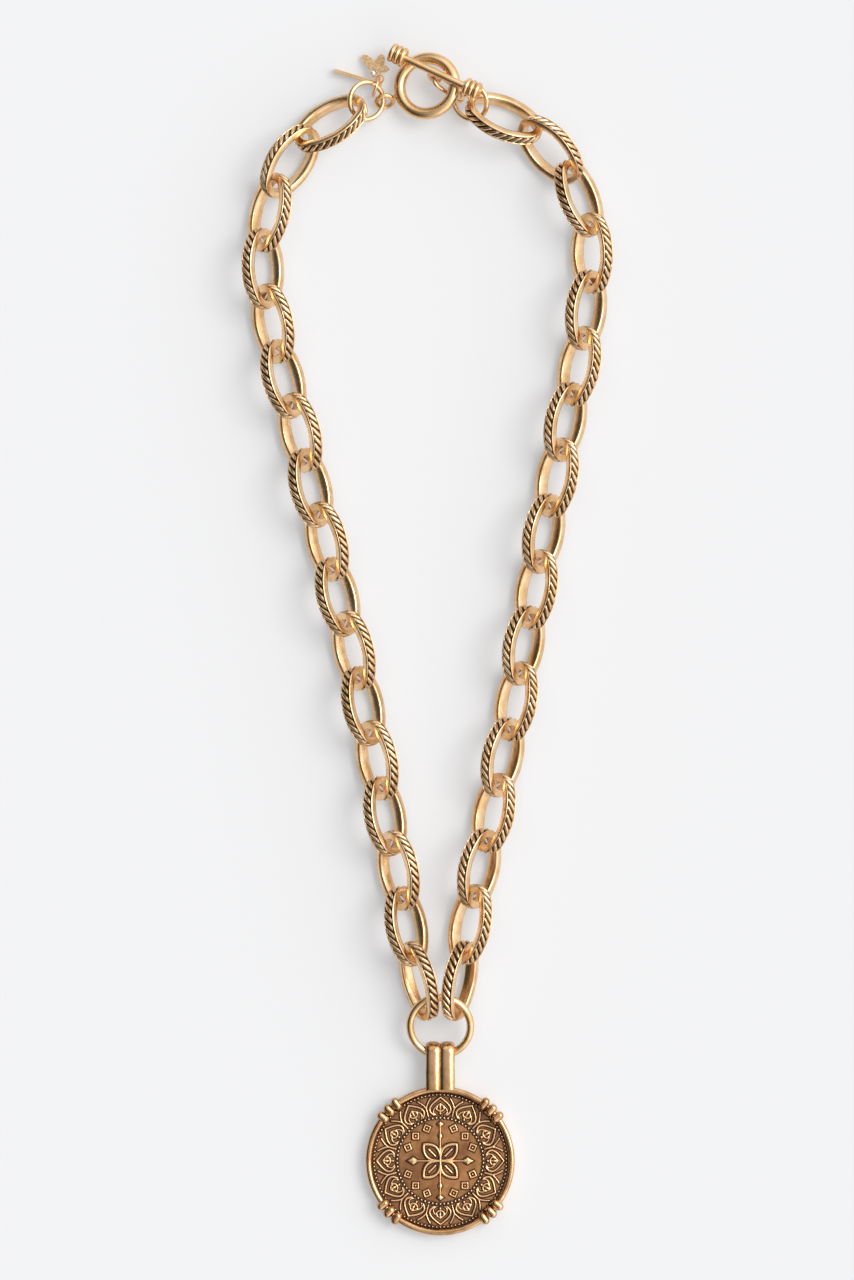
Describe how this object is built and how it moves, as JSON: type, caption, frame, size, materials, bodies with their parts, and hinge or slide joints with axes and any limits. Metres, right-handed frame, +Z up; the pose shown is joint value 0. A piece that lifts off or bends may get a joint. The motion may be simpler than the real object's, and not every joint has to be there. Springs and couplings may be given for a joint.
{
  "type": "medallion pendant necklace",
  "caption": "Round bezel-set medallion on a double-barrel bail and ring, with a rope-edged oval-link chain, toggle clasp and small leaf charm.",
  "frame": {"origin": "centre of the medallion's flat back, where it rests on the table", "axes": "+Y runs from the medallion up the chain to the clasp, +X to the right seen from the medallion's face, +Z up out of the face"},
  "size_m": [0.0818, 0.2623, 0.0115],
  "materials": {
    "gold_plate": "antiqued gold plate, satin with brown recesses",
    "bezel_gold": "antiqued gold plate, satin",
    "antique_bronze": "antique bronze with dark patina in the recesses",
    "crystal": "clear cut crystal"
  },
  "bodies": {
    "root": {"medallion_bezel": "bezel_gold", "medal": "antique_bronze", "link_left_01": "gold_plate", "link_left_02": "gold_plate", "link_left_03": "gold_plate", "link_left_04": "gold_plate", "link_left_05": "gold_plate", "link_left_06": "gold_plate", "link_left_07": "gold_plate", "link_left_08": "gold_plate", "link_left_09": "gold_plate", "link_left_10": "gold_plate", "link_left_11": "gold_plate", "link_left_12": "gold_plate", "link_left_13": "gold_plate", "link_left_14": "gold_plate", "link_left_15": "gold_plate", "link_left_16": "gold_plate", "link_left_17": "gold_plate", "link_right_01": "gold_plate", "link_right_02": "gold_plate", "link_right_03": "gold_plate", "link_right_04": "gold_plate", "link_right_05": "gold_plate", "link_right_06": "gold_plate", "link_right_07": "gold_plate", "link_right_08": "gold_plate", "link_right_09": "gold_plate", "link_right_10": "gold_plate", "link_right_11": "gold_plate", "link_right_12": "gold_plate", "link_right_13": "gold_plate", "link_right_14": "gold_plate", "link_right_15": "gold_plate", "link_right_16": "gold_plate", "link_right_17": "gold_plate", "pendant_ring": "gold_plate", "jump_ring_left": "gold_plate", "jump_ring_right": "gold_plate", "toggle_ring": "gold_plate", "toggle_bar": "gold_plate", "toggle_connector": "gold_plate", "tag_bar": "gold_plate", "charm": "gold_plate", "charm_ring": "gold_plate", "charm_crystal": "crystal"}
  },
  "joints": []
}
